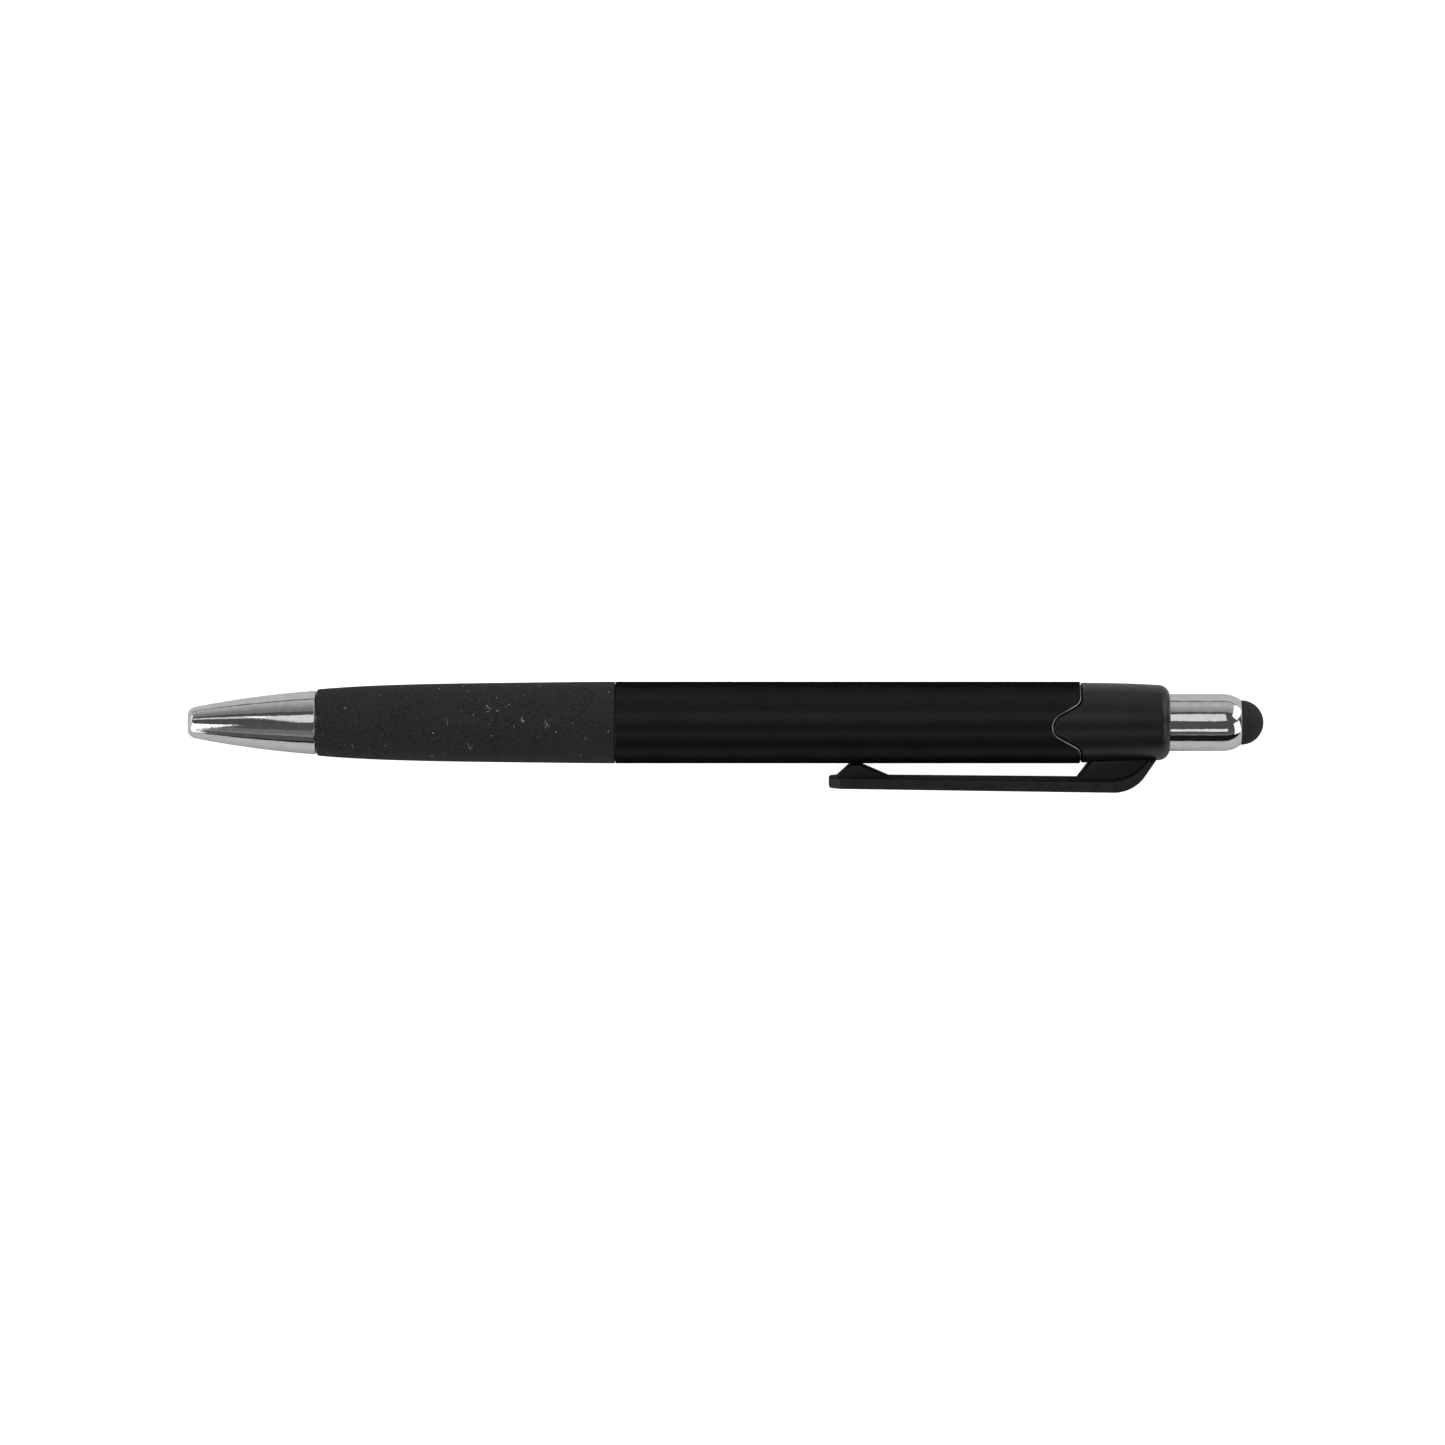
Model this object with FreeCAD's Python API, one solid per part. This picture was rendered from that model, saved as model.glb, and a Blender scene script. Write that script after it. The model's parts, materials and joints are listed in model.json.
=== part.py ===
import FreeCAD, Part
import math
import os

# A retractable ballpoint pen: a chrome nose, a rubber grip, a black barrel and cap with a pocket clip,
# and a chrome push button that ends in a stylus dome. Inside are the refill, its spring and the cams.
#
# Every piece is first made in pen coordinates, in millimetres: x runs along the pen's axis from the nose's
# front face to the button, y points from the axis to the clip, and z runs across the clip. Angles about the
# axis start at the clip and grow from y towards z. place() then lays the pen down on its side.
#
# Names that end in _R are radii, and names that end in _FRONT, _REAR or _X are stations along the pen.

# The outside of the pen
PEN_LENGTH = 142.0
NOSE_REAR = 16.9
GRIP_FRONT = 17.0
GRIP_REAR = 56.35
BARREL_SHOULDER = 56.4
SEAM = 117.75
CAP_REAR = 129.5
BUTTON_REAR = 139.0
BARREL_R = 5.4
EDGE_ROUND = 0.2

# Nose cone
NOSE_FACE_R = 1.4
NOSE_CORNER_BOW = (0.583, 1.898)
NOSE_CORNER = (1.3, 2.17)
NOSE_BELLY = (8.8, 3.4)
NOSE_RIM_R = 4.21
POINT_HOLE_R = 1.25
SPRING_SEAT = 5.0
SPRING_CHAMBER_R = 2.15
SPIGOT_REAR = 23.0
SPIGOT_CHAMFER = 0.4

# Thread between the nose and the barrel, right-handed
THREAD_PITCH = 1.0
THREAD_CORE_R = 2.95
THREAD_CREST_R = 3.3
THREAD_ROOT_R = 2.85
THREAD_BASE_WIDTH = 0.6
THREAD_CREST_WIDTH = 0.3
THREAD_GAP = 0.1
THREAD_START = 17.5
THREAD_RUNOUT = 0.7

# Rubber grip and the barrel's neck inside it
NECK_R = 3.85
GRIP_NOSE_R = 4.43
GRIP_SWELL = ((22.1, 4.76), (31.6, 5.1), (44.3, 5.29))

# Barrel
SOCKET_REAR = 24.2
NECK_BORE_R = 2.9
NECK_BORE_REAR = 56.0
BARREL_BORE_R = 4.7
BARREL_BORE_FRONT = 58.5

# Scalloped seam between the barrel and the cap: two tongues of the cap reach forward at the pen's sides
TONGUE_REACH = 3.75
TONGUE_TIP_R = 1.75
TONGUE_ROOT_R = 1.2
TONGUE_FLANK_ANGLE = 30.0
SEAM_GAP = 0.16

# Rear cap
CAP_FRONT_R = 5.28
CAP_TAPER = ((119.2, 5.26), (122.5, 5.21), (125.4, 5.12), (128.0, 4.99))
CAP_CORNER = (129.08, 4.6)
CAP_FACE_R = 4.0
CAP_BORE_R = 4.2
CAP_STEP = 126.5

# Pocket clip: y is its height above the pen's axis
CLIP_TIP = 84.6
CLIP_TIP_HEIGHT = 8.57
CLIP_TIP_HALF_WIDTH = 2.3
CLIP_TIP_CHAMFER = (1.4, 1.1)
CLIP_ROOT = 122.2
CLIP_ROOT_HEIGHT = 9.0
CLIP_ROOT_HALF_WIDTH = 3.1
CLIP_THICKNESS = 1.45
CLIP_BEND_R = 5.0
CLIP_BEND_ANGLE = 53.0
CLIP_INNER_ROOT = 121.6
CLIP_INNER_BOW = (124.7, 6.75)
CLIP_INNER_END = (126.5, 5.2)
CLIP_INNER_FOOT = 126.95
CLIP_FOOT = 128.5
CLIP_FOOT_HEIGHT = 4.0
CLIP_FOOT_HALF_WIDTH = 2.35
CLIP_CAP_GAP = 0.12
WEB_HALF_WIDTH = 2.1
WEB_TOP = 7.9
WEB_FRONT = 117.05
WEB_FOOT = (119.25, 5.0)
WEB_HEEL = (126.9, 4.6)
WEB_REAR = (126.3, 5.6)
WEB_BOW = (124.4, 7.0)
BEAD_HALF_WIDTH = 1.7
BEAD_FRONT = 85.2
BEAD_CREST = (87.5, 88.8)
BEAD_CREST_HEIGHT = 5.5
BEAD_REAR = 93.0
BEAD_TOP = 7.5
KEY_FRONT = 119.8
HEEL_X = 126.0
HEEL_Y = 5.1
HEEL_R = 0.45
HEEL_HALF_WIDTH = 1.6

# Push button and stylus
BUTTON_R = 3.77
BUTTON_GAP = 0.1
BUTTON_BORE_R = 3.2
BUTTON_BORE_REAR = 137.2
BUTTON_ROUND_FRONT = 136.7
BUTTON_ROUND_BOW = (138.05, 3.515)
BUTTON_END_R = 2.97
COLLAR_FRONT = 125.3
COLLAR_R = 4.1
DOME_R = 2.95
DOME_STEM_R = 1.6
DOME_FLANGE_FRONT = 136.9
DOME_FLANGE_REAR = 138.2
DOME_FLANGE_R = 2.35
PLUG_FRONT = 134.0
PLUG_CHAMFER = 0.2

# Click mechanism: four fins on the rotor, four slots in the guide, eight sawteeth on the pusher
FIN_COUNT = 4
TOOTH_COUNT = 8
FIN_HALF_ANGLE = 8.0
FIN_R = 3.5
FIN_SLOPE = 0.78
ROTOR_FIN_FRONT = 103.0
ROTOR_FIN_REAR = 108.62
ROTOR_SOCKET_FRONT = 97.0
ROTOR_SOCKET_REAR = 101.6
ROTOR_SOCKET_R = 2.3
ROTOR_CORE_REAR = 109.0
ROTOR_CORE_R = 2.0
ROTOR_STEM_REAR = 112.5
ROTOR_STEM_R = 1.2
REFILL_FIT = 0.05
GUIDE_FRONT = 101.0
GUIDE_REAR = 118.8
GUIDE_FLANGE_LENGTH = 1.2
GUIDE_FLANGE_R = 4.65
SLOT_R = 3.6
RIB_R = 2.95
RIB_FRONT = 105.15
RIB_START_ANGLE = 28.2
RIB_NOTCH_ANGLE = 53.0
RIB_END_ANGLE = 81.0
CAP_SPIGOT_FRONT = 110.0
CROWN_BORE_R = 2.1
CROWN_R = 2.85
CROWN_REAR = 110.9
TOOTH_SLOPE = 1.056
TOOTH_MIDDLE = 109.45
TOOTH_WALL_ANGLE = 33.0
PUSHER_FIN_FRONT = 111.2
PUSHER_FIN_REAR = 117.5
PUSHER_STEM_BORE_R = 1.35
PUSHER_STEM_BORE_REAR = 114.5
PUSHER_CORE_FRONT = 116.0
PUSHER_CORE_R = 1.9

# Return spring
SPRING_WIRE_R = 0.175
SPRING_MEAN_R = 1.85
SPRING_TURNS = 14

# Refill
TUBE_R = 1.5
TUBE_BORE_R = 1.05
TUBE_FRONT = 14.0
TUBE_REAR = 101.0
EAR_FRONT = 27.5
EAR_LENGTH = 2.0
EAR_R = 2.05
EAR_HALF_ANGLE = 18.0
INK_FRONT = 18.0
INK_REAR = 90.0
GREASE_REAR = 93.0
HOLDER_FRONT = 11.0
HOLDER_R = 1.35
POINT_STEM_REAR = 15.0
POINT_STEM_R = 0.8
POINT_R = 1.15
POINT_CONE_REAR = 4.2
POINT_LIP_R = 0.56
INK_CHANNEL_R = 0.2
BALL_R = 0.5
BALL_X = 1.3
BALL_GAP = 0.03
LIP_AHEAD = 0.2

ORIGIN = FreeCAD.Vector(0, 0, 0)
AXIS = FreeCAD.Vector(1, 0, 0)
UP = FreeCAD.Vector(0, 1, 0)
ACROSS = FreeCAD.Vector(0, 0, 1)
HALF_RIGHT_ANGLE = math.radians(45)
FAR = 20.0


class Outline:
    """A closed outline of straight runs, arcs and curves, in the x-y plane."""

    def __init__(self, x, y):
        self.start = FreeCAD.Vector(x, y, 0)
        self.at = self.start
        self.edges = []

    def add(self, curve, end):
        self.edges.append(curve.toShape())
        self.at = end
        return self

    def line(self, x, y):
        end = FreeCAD.Vector(x, y, 0)
        return self.add(Part.LineSegment(self.at, end), end)

    def arc(self, through, end):
        middle = FreeCAD.Vector(*through, 0)
        last = FreeCAD.Vector(*end, 0)
        return self.add(Part.Arc(self.at, middle, last), last)

    def round(self, size, along, outward):
        """A quarter circle; along and outward are the signs of its steps, and it starts along x."""
        bow = size * math.sin(HALF_RIGHT_ANGLE)
        x, y = self.at.x, self.at.y
        middle = (x + along * bow, y + outward * (size - bow))
        return self.arc(middle, (x + along * size, y + outward * size))

    def curve(self, *points):
        through = [self.at] + [FreeCAD.Vector(*point, 0) for point in points]
        spline = Part.BSplineCurve()
        spline.interpolate(through)
        return self.add(spline, through[-1])

    def face(self):
        self.line(self.start.x, self.start.y)
        return Part.Face(Part.Wire(self.edges))

    def turned(self):
        """The outline turned once round the pen's axis."""
        return self.face().revolve(ORIGIN, AXIS, 360)

    def across(self, half_width):
        """The outline given a thickness across the pen."""
        face = self.face()
        face.translate(ACROSS * -half_width)
        return face.extrude(ACROSS * (2 * half_width))


def rod(front, rear, radius):
    return Part.makeCylinder(radius, rear - front, FreeCAD.Vector(front, 0, 0), AXIS)


def tube(front, rear, outer, inner):
    return rod(front, rear, outer).cut(rod(front, rear, inner))


def sector(front, rear, inner, outer, start, end):
    """Part of a ring, from one angle about the axis to another, in degrees."""
    ring = Outline(front, inner).line(rear, inner).line(rear, outer).line(front, outer).face()
    ring.rotate(ORIGIN, AXIS, start)
    return ring.revolve(ORIGIN, AXIS, end - start)


def bevel(x, angle, slope, side):
    """A block whose face crosses the axis at x and climbs with the angle; side is -1 for the front."""
    corner = FreeCAD.Vector(min(0, side * FAR), -FAR / 2, -FAR / 2)
    block = Part.makeBox(FAR, FAR, FAR, corner)
    block.rotate(ORIGIN, UP, math.degrees(math.atan(slope)))
    block.rotate(ORIGIN, AXIS, angle)
    block.translate(AXIS * x)
    return block


def around(piece, count):
    """Copies of a piece, evenly spaced about the axis."""
    copies = []
    for number in range(count):
        copy = piece.copy()
        copy.rotate(ORIGIN, AXIS, number * 360 / count)
        copies.append(copy)
    return copies


def along_helix(profile, pitch, length, radius, front):
    """A profile drawn about the start of a helix, swept along it."""
    path = Part.Wire(Part.makeHelix(pitch, length, radius).Edges)
    swept = path.makePipeShell([profile], True, True)
    swept.rotate(ORIGIN, UP, 90)
    swept.translate(AXIS * front)
    return swept


def thread(front, rear, gap):
    """The helical ridge of the nose's thread, or with a gap, the groove it runs in."""
    crest_r = THREAD_CREST_R + gap
    base = THREAD_BASE_WIDTH / 2 + gap
    crest = THREAD_CREST_WIDTH / 2 + gap
    corners = [(THREAD_ROOT_R, -base), (crest_r, -crest), (crest_r, crest), (THREAD_ROOT_R, base)]
    profile = Part.makePolygon([FreeCAD.Vector(r, 0, x) for r, x in corners + corners[:1]])
    return along_helix(profile, THREAD_PITCH, rear - front, THREAD_ROOT_R, front)


def nose_cone():
    rim = NOSE_REAR - EDGE_ROUND
    body = Outline(0, POINT_HOLE_R).line(0, NOSE_FACE_R).arc(NOSE_CORNER_BOW, NOSE_CORNER)
    body.arc(NOSE_BELLY, (rim, NOSE_RIM_R)).round(EDGE_ROUND, 1, -1).line(NOSE_REAR, THREAD_CORE_R)
    body.line(SPIGOT_REAR - SPIGOT_CHAMFER, THREAD_CORE_R)
    body.line(SPIGOT_REAR, THREAD_CORE_R - SPIGOT_CHAMFER).line(SPIGOT_REAR, SPRING_CHAMBER_R)
    body.line(SPRING_SEAT, SPRING_CHAMBER_R).line(SPRING_SEAT, POINT_HOLE_R)
    return body.turned().fuse(thread(THREAD_START, SPIGOT_REAR - THREAD_RUNOUT, 0))


def grip_sleeve():
    front_corner = GRIP_NOSE_R - 2 * EDGE_ROUND
    rounded = 2 * EDGE_ROUND * (1 - math.sin(HALF_RIGHT_ANGLE))
    sleeve = Outline(GRIP_FRONT, NECK_R).line(GRIP_FRONT, front_corner)
    sleeve.arc((GRIP_FRONT + rounded, GRIP_NOSE_R - rounded), (GRIP_FRONT + 2 * EDGE_ROUND, GRIP_NOSE_R))
    sleeve.curve(*GRIP_SWELL, (GRIP_REAR - EDGE_ROUND, BARREL_R)).round(EDGE_ROUND, 1, -1)
    return sleeve.line(GRIP_REAR, NECK_R).turned()


def behind_seam(gap):
    """Everything behind the scalloped seam, moved back by a gap."""
    seam = SEAM + gap
    flank = math.radians(TONGUE_FLANK_ANGLE)
    tip_middle = seam - TONGUE_REACH + TONGUE_TIP_R
    tip_x = tip_middle - TONGUE_TIP_R * math.sin(flank)
    tip_y = TONGUE_TIP_R * math.cos(flank)
    half_turn = (math.pi / 2 - flank) / 2
    tangent = TONGUE_ROOT_R * math.tan(half_turn)
    corner_y = tip_y + (seam - tip_x) * math.tan(flank)
    root_x = seam - tangent * math.cos(flank)
    root_y = corner_y - tangent * math.sin(flank)
    end_y = corner_y + tangent
    bow_x = seam - TONGUE_ROOT_R * (1 - math.cos(half_turn))
    bow_y = end_y - TONGUE_ROOT_R * math.sin(half_turn)
    outline = Outline(seam + FAR, -FAR).line(seam, -FAR).line(seam, -end_y)
    outline.arc((bow_x, -bow_y), (root_x, -root_y)).line(tip_x, -tip_y)
    outline.arc((tip_middle - TONGUE_TIP_R, 0), (tip_x, tip_y)).line(root_x, root_y)
    outline.arc((bow_x, bow_y), (seam, end_y)).line(seam, FAR).line(seam + FAR, FAR)
    return outline.across(FAR)


def barrel():
    socket_r = THREAD_CORE_R + THREAD_GAP
    shoulder_r = BARREL_R - EDGE_ROUND
    rounded = EDGE_ROUND * (1 - math.sin(HALF_RIGHT_ANGLE))
    body = Outline(GRIP_FRONT, socket_r).line(GRIP_FRONT, NECK_R).line(BARREL_SHOULDER, NECK_R)
    body.line(BARREL_SHOULDER, shoulder_r)
    body.arc((BARREL_SHOULDER + rounded, BARREL_R - rounded), (BARREL_SHOULDER + EDGE_ROUND, BARREL_R))
    body.line(SEAM, BARREL_R).line(SEAM, BARREL_BORE_R).line(BARREL_BORE_FRONT, BARREL_BORE_R)
    body.line(NECK_BORE_REAR, NECK_BORE_R).line(SOCKET_REAR, NECK_BORE_R).line(SOCKET_REAR, socket_r)
    groove = thread(THREAD_START - THREAD_PITCH, SOCKET_REAR - THREAD_RUNOUT, THREAD_GAP)
    return body.turned().cut(groove).cut(behind_seam(0))


def cap_body(gap):
    """The solid inside the cap's outer surface, with that surface moved out by a gap."""
    front = SEAM - TONGUE_REACH - 1
    corner = (CAP_CORNER[0] + gap, CAP_CORNER[1] + gap)
    profile = Outline(front, 0).line(front, CAP_FRONT_R + gap).line(SEAM, CAP_FRONT_R + gap)
    profile.curve(*[(x, r + gap) for x, r in CAP_TAPER]).arc(corner, (CAP_REAR + gap, CAP_FACE_R))
    return profile.line(CAP_REAR + gap, 0).turned()


def clip_key(gap):
    """The tongue that holds the clip in the cap, ending in the round heel that the clip rocks on."""
    radius = HEEL_R + gap
    front = KEY_FRONT - gap
    key = Outline(front, HEEL_Y - radius).line(HEEL_X, HEEL_Y - radius)
    key.arc((HEEL_X + radius, HEEL_Y), (HEEL_X, HEEL_Y + radius)).line(front, HEEL_Y + radius)
    return key.across(HEEL_HALF_WIDTH + gap)


def rear_cap():
    shell = cap_body(0).common(behind_seam(SEAM_GAP))
    spigot = rod(CAP_SPIGOT_FRONT, SEAM + 1, BARREL_BORE_R)
    bore = rod(CAP_SPIGOT_FRONT, CAP_STEP, CAP_BORE_R)
    mouth = rod(CAP_STEP, CAP_REAR + 1, BUTTON_R + BUTTON_GAP)
    return shell.fuse(spigot).cut([bore, mouth, clip_key(CLIP_CAP_GAP)])


def clip_side():
    """The clip's plate seen from the side: straight, then bent down to the cap."""
    bend = math.radians(CLIP_BEND_ANGLE)
    middle_y = CLIP_ROOT_HEIGHT - CLIP_BEND_R
    bow_x = CLIP_ROOT + CLIP_BEND_R * math.sin(bend / 2)
    bow_y = middle_y + CLIP_BEND_R * math.cos(bend / 2)
    end_x = CLIP_ROOT + CLIP_BEND_R * math.sin(bend)
    end_y = middle_y + CLIP_BEND_R * math.cos(bend)
    run = (end_y - CLIP_FOOT_HEIGHT) / math.tan(bend)
    side = Outline(CLIP_TIP, CLIP_TIP_HEIGHT).line(CLIP_ROOT, CLIP_ROOT_HEIGHT)
    side.arc((bow_x, bow_y), (end_x, end_y)).line(end_x + run, CLIP_FOOT_HEIGHT)
    side.line(CLIP_INNER_FOOT, CLIP_FOOT_HEIGHT).line(*CLIP_INNER_END)
    side.arc(CLIP_INNER_BOW, (CLIP_INNER_ROOT, CLIP_ROOT_HEIGHT - CLIP_THICKNESS))
    side.line(CLIP_TIP, CLIP_TIP_HEIGHT - CLIP_THICKNESS)
    return side.across(CLIP_ROOT_HALF_WIDTH + 1)


def clip_plan():
    """The clip's plate seen from above: a taper with a chamfered tip."""
    chamfer_length, chamfer_width = CLIP_TIP_CHAMFER
    corners = [
        (CLIP_TIP, CLIP_TIP_HALF_WIDTH - chamfer_width),
        (CLIP_TIP + chamfer_length, CLIP_TIP_HALF_WIDTH),
        (CLIP_ROOT, CLIP_ROOT_HALF_WIDTH),
        (CLIP_FOOT, CLIP_FOOT_HALF_WIDTH),
    ]
    outline = corners + [(x, -z) for x, z in reversed(corners)] + corners[:1]
    face = Part.Face(Part.makePolygon([FreeCAD.Vector(x, 0, z) for x, z in outline]))
    return face.extrude(UP * FAR)


def clip_web():
    web = Outline(WEB_FRONT, WEB_TOP).line(*WEB_FOOT).line(*WEB_HEEL).line(*WEB_REAR)
    return web.arc(WEB_BOW, (CLIP_INNER_ROOT, WEB_TOP)).across(WEB_HALF_WIDTH)


def clip_bead():
    crest_front, crest_rear = BEAD_CREST
    bead = Outline(BEAD_FRONT, BEAD_TOP).line(crest_front, BEAD_CREST_HEIGHT)
    return bead.line(crest_rear, BEAD_CREST_HEIGHT).line(BEAD_REAR, BEAD_TOP).across(BEAD_HALF_WIDTH)


def pocket_clip():
    plate = clip_side().common(clip_plan())
    body = plate.fuse([clip_web(), clip_bead()]).cut(cap_body(CLIP_CAP_GAP))
    return body.fuse(clip_key(0)).removeSplitter()


def cam_guide():
    body = tube(GUIDE_FRONT, GUIDE_REAR, CAP_BORE_R, SLOT_R)
    flange = tube(CAP_SPIGOT_FRONT - GUIDE_FLANGE_LENGTH, CAP_SPIGOT_FRONT, GUIDE_FLANGE_R, SLOT_R)
    ribs = []
    for start, end in ((RIB_START_ANGLE, RIB_NOTCH_ANGLE), (RIB_NOTCH_ANGLE, RIB_END_ANGLE)):
        tooth = sector(GUIDE_FRONT, GUIDE_REAR, RIB_R, (SLOT_R + CAP_BORE_R) / 2, start, end)
        tooth = tooth.cut(bevel(RIB_FRONT, (start + end) / 2, FIN_SLOPE, -1))
        ribs += around(tooth, FIN_COUNT)
    return body.fuse([flange] + ribs)


def rotor_cam():
    socket = tube(ROTOR_SOCKET_FRONT, ROTOR_SOCKET_REAR, ROTOR_SOCKET_R, TUBE_R + REFILL_FIT)
    hub = rod(ROTOR_SOCKET_REAR, ROTOR_FIN_FRONT, ROTOR_SOCKET_R)
    core = rod(ROTOR_SOCKET_REAR, ROTOR_CORE_REAR, ROTOR_CORE_R)
    stem = rod(ROTOR_CORE_REAR, ROTOR_STEM_REAR, ROTOR_STEM_R)
    fin = sector(ROTOR_FIN_FRONT, ROTOR_CORE_REAR + 1, ROTOR_STEM_R, FIN_R, -FIN_HALF_ANGLE, FIN_HALF_ANGLE)
    fin = fin.cut(bevel(ROTOR_FIN_REAR, 0, FIN_SLOPE, 1))
    return socket.fuse([hub, core, stem] + around(fin, FIN_COUNT))


def pusher_cam():
    pitch = 360 / TOOTH_COUNT
    start = TOOTH_WALL_ANGLE - pitch
    tooth = sector(ROTOR_FIN_FRONT, CROWN_REAR, CROWN_BORE_R, CROWN_R, start, TOOTH_WALL_ANGLE)
    tooth = tooth.cut(bevel(TOOTH_MIDDLE, start + pitch / 2, TOOTH_SLOPE, -1))
    fin_end = RIB_START_ANGLE - 1
    fin = sector(PUSHER_FIN_FRONT, PUSHER_FIN_REAR, CROWN_BORE_R, FIN_R, -FIN_HALF_ANGLE, fin_end)
    stem = rod(CROWN_REAR, COLLAR_FRONT, CROWN_R)
    shank = rod(COLLAR_FRONT, PLUG_FRONT, BUTTON_BORE_R)
    body = stem.fuse([shank] + around(tooth, TOOTH_COUNT) + around(fin, FIN_COUNT))
    stem_bore = rod(CROWN_REAR - 1, PUSHER_STEM_BORE_REAR, PUSHER_STEM_BORE_R)
    return body.cut([stem_bore, rod(PUSHER_CORE_FRONT, PLUG_FRONT, PUSHER_CORE_R)])


def plunger_shell():
    collar_rear = CAP_STEP - BUTTON_GAP
    shell = Outline(COLLAR_FRONT, BUTTON_BORE_R).line(COLLAR_FRONT, COLLAR_R).line(collar_rear, COLLAR_R)
    shell.line(collar_rear, BUTTON_R).line(BUTTON_ROUND_FRONT, BUTTON_R)
    shell.arc(BUTTON_ROUND_BOW, (BUTTON_REAR, BUTTON_END_R)).line(BUTTON_REAR, DOME_STEM_R)
    shell.line(DOME_FLANGE_REAR, DOME_STEM_R).line(DOME_FLANGE_REAR, DOME_FLANGE_R + REFILL_FIT)
    return shell.line(BUTTON_BORE_REAR, BUTTON_BORE_R).turned()


def stylus_dome():
    middle = PEN_LENGTH - DOME_R
    bow = DOME_R * math.sin(HALF_RIGHT_ANGLE)
    dome = Outline(DOME_FLANGE_FRONT, 0).line(DOME_FLANGE_FRONT, DOME_FLANGE_R)
    dome.line(DOME_FLANGE_REAR, DOME_FLANGE_R).line(DOME_FLANGE_REAR, DOME_STEM_R)
    dome.line(BUTTON_REAR, DOME_STEM_R).line(BUTTON_REAR, DOME_R).line(middle, DOME_R)
    return dome.arc((middle + bow, bow), (PEN_LENGTH, 0)).turned()


def stylus_plug():
    plug = Outline(PLUG_FRONT, 0).line(PLUG_FRONT, BUTTON_BORE_R - PLUG_CHAMFER)
    plug.line(PLUG_FRONT + PLUG_CHAMFER, BUTTON_BORE_R).line(DOME_FLANGE_FRONT, BUTTON_BORE_R)
    return plug.line(DOME_FLANGE_FRONT, 0).turned()


def return_spring():
    front = SPRING_SEAT + SPRING_WIRE_R
    length = EAR_FRONT - SPRING_WIRE_R - front
    wire = Part.Circle(FreeCAD.Vector(SPRING_MEAN_R, 0, 0), UP, SPRING_WIRE_R)
    return along_helix(Part.Wire(wire.toShape()), length / SPRING_TURNS, length, SPRING_MEAN_R, front)


def refill_tube():
    ear = sector(EAR_FRONT, EAR_FRONT + EAR_LENGTH, TUBE_BORE_R, EAR_R, -EAR_HALF_ANGLE, EAR_HALF_ANGLE)
    body = rod(TUBE_FRONT, TUBE_REAR, TUBE_R).fuse(around(ear, 2))
    return body.cut(rod(TUBE_FRONT, TUBE_REAR, TUBE_BORE_R))


def ink_column():
    return rod(INK_FRONT, INK_REAR, TUBE_BORE_R)


def grease_follower():
    return rod(INK_REAR, GREASE_REAR, TUBE_BORE_R)


def point_holder():
    collar = tube(HOLDER_FRONT, TUBE_FRONT, HOLDER_R, POINT_STEM_R)
    return collar.fuse(tube(TUBE_FRONT, INK_FRONT, TUBE_BORE_R, POINT_STEM_R))


def refill_point():
    seat_r = BALL_R + BALL_GAP
    lip = BALL_X - LIP_AHEAD
    seat_rear = BALL_X + math.sqrt(seat_r ** 2 - INK_CHANNEL_R ** 2)
    body = Outline(seat_rear, INK_CHANNEL_R)
    body.arc((BALL_X, seat_r), (lip, math.sqrt(seat_r ** 2 - LIP_AHEAD ** 2)))
    body.line(lip, POINT_LIP_R).line(POINT_CONE_REAR, POINT_R).line(HOLDER_FRONT, POINT_R)
    body.line(HOLDER_FRONT, POINT_STEM_R).line(POINT_STEM_REAR, POINT_STEM_R)
    return body.line(POINT_STEM_REAR, INK_CHANNEL_R).turned()


def writing_ball():
    return Part.makeSphere(BALL_R, FreeCAD.Vector(BALL_X, 0, 0))


def rest_turn():
    """How far the pen turns about its axis to lie on the barrel and the clip's lower edge, in degrees."""
    reach = math.hypot(CLIP_ROOT_HEIGHT, CLIP_ROOT_HALF_WIDTH)
    roll = math.asin(BARREL_R / reach) - math.atan(CLIP_ROOT_HALF_WIDTH / CLIP_ROOT_HEIGHT)
    return 180 + math.degrees(roll)


def place(shapes):
    """Lays the pen down, clip towards -y, with the middle of its footprint at the origin."""
    for shape in shapes:
        shape.rotate(ORIGIN, AXIS, rest_turn())
    box = Part.makeCompound(shapes).optimalBoundingBox(False)
    for shape in shapes:
        shape.translate(FreeCAD.Vector(-box.Center.x, -box.Center.y, -box.ZMin))


SUB_PARTS = (
    nose_cone,
    grip_sleeve,
    barrel,
    rear_cap,
    pocket_clip,
    plunger_shell,
    stylus_dome,
    stylus_plug,
    pusher_cam,
    rotor_cam,
    cam_guide,
    return_spring,
    refill_tube,
    ink_column,
    grease_follower,
    point_holder,
    refill_point,
    writing_ball,
)

os.makedirs("parts", exist_ok=True)
pen = {sub_part.__name__: sub_part() for sub_part in SUB_PARTS}
place(list(pen.values()))
for name, shape in pen.items():
    shape.exportStep("parts/" + name + ".step")
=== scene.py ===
import json
import math

import bmesh
import bpy
import numpy as np
from mathutils import Matrix, Vector


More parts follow.
